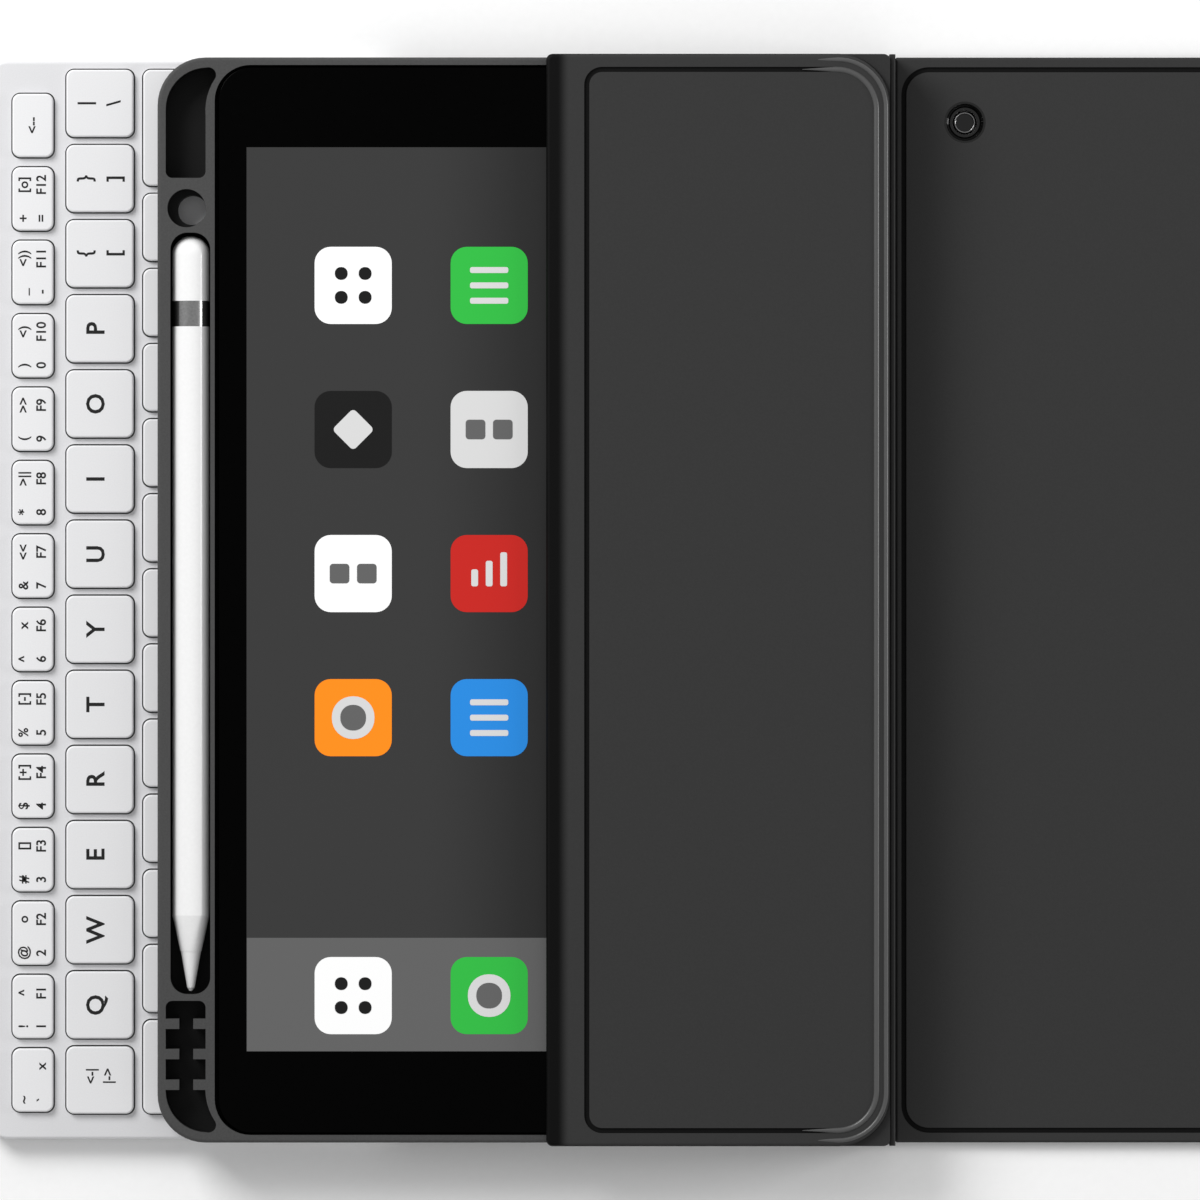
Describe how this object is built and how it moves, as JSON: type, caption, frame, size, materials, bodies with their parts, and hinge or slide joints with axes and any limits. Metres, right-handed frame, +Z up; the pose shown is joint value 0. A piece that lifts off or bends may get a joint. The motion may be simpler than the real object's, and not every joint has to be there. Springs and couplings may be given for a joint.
{
  "type": "tablet keyboard case",
  "caption": "Tablet keyboard case laid out in layers: a flat keyboard, a tray holding a tablet and a stylus, and a folding leather cover with a camera opening.",
  "frame": {"origin": "on the table, below the middle of the laid-out case", "axes": "+X from the keyboard across the tray to the back panel, +Y along the long side, +Z up"},
  "size_m": [0.3852, 0.256, 0.0194],
  "materials": {
    "keyboard_housing": "moulded satin",
    "foot_rubber": "matt",
    "membrane_film": "film",
    "battery_foil": "foil",
    "circuit_board": "solder resist",
    "keycap": "moulded satin",
    "tray_plastic": "soft touch",
    "tablet_metal": "blasted",
    "tablet_glass": "polished",
    "display": "polished",
    "stylus_white": "gloss",
    "stylus_metal": "polished",
    "magnet": "nickel",
    "lining": "microfibre",
    "stiffener": "board",
    "cover_leather": "smooth matt",
    "camera_ring": "gloss"
  },
  "bodies": {
    "tray": {"tray_shell": "tray_plastic", "spine_strip": "cover_leather", "tablet_body": "tablet_metal", "tablet_glass": "tablet_glass", "tablet_display": "display"},
    "flap": {"flap_panel": "cover_leather", "flap_lining": "lining", "flap_board": "stiffener", "flap_magnets": "magnet"},
    "back": {"back_panel": "cover_leather", "back_lining": "lining", "back_board": "stiffener", "camera_ring": "camera_ring"},
    "keyboard": {"keyboard_base": "keyboard_housing", "keyboard_deck": "keyboard_housing", "keyboard_feet": "foot_rubber", "keyboard_membrane": "membrane_film", "keyboard_battery": "battery_foil", "keyboard_circuit_board": "circuit_board", "keys_home_row": "keycap", "keys_shift_row": "keycap", "keys_space_row": "keycap"},
    "stylus": {"stylus_cap": "stylus_white", "stylus_band": "stylus_metal", "stylus_barrel": "stylus_white", "stylus_tip": "stylus_white"},
    "key_esc_cap": {"key_esc": "keycap"},
    "key_1_cap": {"key_1": "keycap"},
    "key_2_cap": {"key_2": "keycap"},
    "key_3_cap": {"key_3": "keycap"},
    "key_4_cap": {"key_4": "keycap"},
    "key_5_cap": {"key_5": "keycap"},
    "key_6_cap": {"key_6": "keycap"},
    "key_7_cap": {"key_7": "keycap"},
    "key_8_cap": {"key_8": "keycap"},
    "key_9_cap": {"key_9": "keycap"},
    "key_0_cap": {"key_0": "keycap"},
    "key_minus_cap": {"key_minus": "keycap"},
    "key_equals_cap": {"key_equals": "keycap"},
    "key_backspace_cap": {"key_backspace": "keycap"},
    "key_tab_cap": {"key_tab": "keycap"},
    "key_q_cap": {"key_q": "keycap"},
    "key_w_cap": {"key_w": "keycap"},
    "key_e_cap": {"key_e": "keycap"},
    "key_r_cap": {"key_r": "keycap"},
    "key_t_cap": {"key_t": "keycap"},
    "key_y_cap": {"key_y": "keycap"},
    "key_u_cap": {"key_u": "keycap"},
    "key_i_cap": {"key_i": "keycap"},
    "key_o_cap": {"key_o": "keycap"},
    "key_p_cap": {"key_p": "keycap"},
    "key_bracket_open_cap": {"key_bracket_open": "keycap"},
    "key_bracket_close_cap": {"key_bracket_close": "keycap"},
    "key_backslash_cap": {"key_backslash": "keycap"}
  },
  "joints": [
    {"name": "flap_fold", "type": "hinge", "parent": "tray", "child": "flap", "pos_m": [0.021, 0, 0.0172], "axis": [0, 1, 0], "range_deg": [0, 100]},
    {"name": "back_fold", "type": "hinge", "parent": "tray", "child": "back", "pos_m": [0.0223, 0, 0.0026], "axis": [0, -1, 0], "range_deg": [0, 75]},
    {"name": "keyboard_slide", "type": "slide", "parent": "tray", "child": "keyboard", "axis": [-1, 0, 0], "range_m": [0, 0.06]},
    {"name": "stylus_lift", "type": "slide", "parent": "tray", "child": "stylus", "axis": [0, 0, 1], "range_m": [0, 0.02]},
    {"name": "key_esc_press", "type": "slide", "parent": "keyboard", "child": "key_esc_cap", "axis": [0, 0, -1], "range_m": [0, 0.0012], "stiffness_N_per_m": 400},
    {"name": "key_1_press", "type": "slide", "parent": "keyboard", "child": "key_1_cap", "axis": [0, 0, -1], "range_m": [0, 0.0012], "stiffness_N_per_m": 400},
    {"name": "key_2_press", "type": "slide", "parent": "keyboard", "child": "key_2_cap", "axis": [0, 0, -1], "range_m": [0, 0.0012], "stiffness_N_per_m": 400},
    {"name": "key_3_press", "type": "slide", "parent": "keyboard", "child": "key_3_cap", "axis": [0, 0, -1], "range_m": [0, 0.0012], "stiffness_N_per_m": 400},
    {"name": "key_4_press", "type": "slide", "parent": "keyboard", "child": "key_4_cap", "axis": [0, 0, -1], "range_m": [0, 0.0012], "stiffness_N_per_m": 400},
    {"name": "key_5_press", "type": "slide", "parent": "keyboard", "child": "key_5_cap", "axis": [0, 0, -1], "range_m": [0, 0.0012], "stiffness_N_per_m": 400},
    {"name": "key_6_press", "type": "slide", "parent": "keyboard", "child": "key_6_cap", "axis": [0, 0, -1], "range_m": [0, 0.0012], "stiffness_N_per_m": 400},
    {"name": "key_7_press", "type": "slide", "parent": "keyboard", "child": "key_7_cap", "axis": [0, 0, -1], "range_m": [0, 0.0012], "stiffness_N_per_m": 400},
    {"name": "key_8_press", "type": "slide", "parent": "keyboard", "child": "key_8_cap", "axis": [0, 0, -1], "range_m": [0, 0.0012], "stiffness_N_per_m": 400},
    {"name": "key_9_press", "type": "slide", "parent": "keyboard", "child": "key_9_cap", "axis": [0, 0, -1], "range_m": [0, 0.0012], "stiffness_N_per_m": 400},
    {"name": "key_0_press", "type": "slide", "parent": "keyboard", "child": "key_0_cap", "axis": [0, 0, -1], "range_m": [0, 0.0012], "stiffness_N_per_m": 400},
    {"name": "key_minus_press", "type": "slide", "parent": "keyboard", "child": "key_minus_cap", "axis": [0, 0, -1], "range_m": [0, 0.0012], "stiffness_N_per_m": 400},
    {"name": "key_equals_press", "type": "slide", "parent": "keyboard", "child": "key_equals_cap", "axis": [0, 0, -1], "range_m": [0, 0.0012], "stiffness_N_per_m": 400},
    {"name": "key_backspace_press", "type": "slide", "parent": "keyboard", "child": "key_backspace_cap", "axis": [0, 0, -1], "range_m": [0, 0.0012], "stiffness_N_per_m": 400},
    {"name": "key_tab_press", "type": "slide", "parent": "keyboard", "child": "key_tab_cap", "axis": [0, 0, -1], "range_m": [0, 0.0012], "stiffness_N_per_m": 400},
    {"name": "key_q_press", "type": "slide", "parent": "keyboard", "child": "key_q_cap", "axis": [0, 0, -1], "range_m": [0, 0.0012], "stiffness_N_per_m": 400},
    {"name": "key_w_press", "type": "slide", "parent": "keyboard", "child": "key_w_cap", "axis": [0, 0, -1], "range_m": [0, 0.0012], "stiffness_N_per_m": 400},
    {"name": "key_e_press", "type": "slide", "parent": "keyboard", "child": "key_e_cap", "axis": [0, 0, -1], "range_m": [0, 0.0012], "stiffness_N_per_m": 400},
    {"name": "key_r_press", "type": "slide", "parent": "keyboard", "child": "key_r_cap", "axis": [0, 0, -1], "range_m": [0, 0.0012], "stiffness_N_per_m": 400},
    {"name": "key_t_press", "type": "slide", "parent": "keyboard", "child": "key_t_cap", "axis": [0, 0, -1], "range_m": [0, 0.0012], "stiffness_N_per_m": 400},
    {"name": "key_y_press", "type": "slide", "parent": "keyboard", "child": "key_y_cap", "axis": [0, 0, -1], "range_m": [0, 0.0012], "stiffness_N_per_m": 400},
    {"name": "key_u_press", "type": "slide", "parent": "keyboard", "child": "key_u_cap", "axis": [0, 0, -1], "range_m": [0, 0.0012], "stiffness_N_per_m": 400},
    {"name": "key_i_press", "type": "slide", "parent": "keyboard", "child": "key_i_cap", "axis": [0, 0, -1], "range_m": [0, 0.0012], "stiffness_N_per_m": 400},
    {"name": "key_o_press", "type": "slide", "parent": "keyboard", "child": "key_o_cap", "axis": [0, 0, -1], "range_m": [0, 0.0012], "stiffness_N_per_m": 400},
    {"name": "key_p_press", "type": "slide", "parent": "keyboard", "child": "key_p_cap", "axis": [0, 0, -1], "range_m": [0, 0.0012], "stiffness_N_per_m": 400},
    {"name": "key_bracket_open_press", "type": "slide", "parent": "keyboard", "child": "key_bracket_open_cap", "axis": [0, 0, -1], "range_m": [0, 0.0012], "stiffness_N_per_m": 400},
    {"name": "key_bracket_close_press", "type": "slide", "parent": "keyboard", "child": "key_bracket_close_cap", "axis": [0, 0, -1], "range_m": [0, 0.0012], "stiffness_N_per_m": 400},
    {"name": "key_backslash_press", "type": "slide", "parent": "keyboard", "child": "key_backslash_cap", "axis": [0, 0, -1], "range_m": [0, 0.0012], "stiffness_N_per_m": 400}
  ]
}
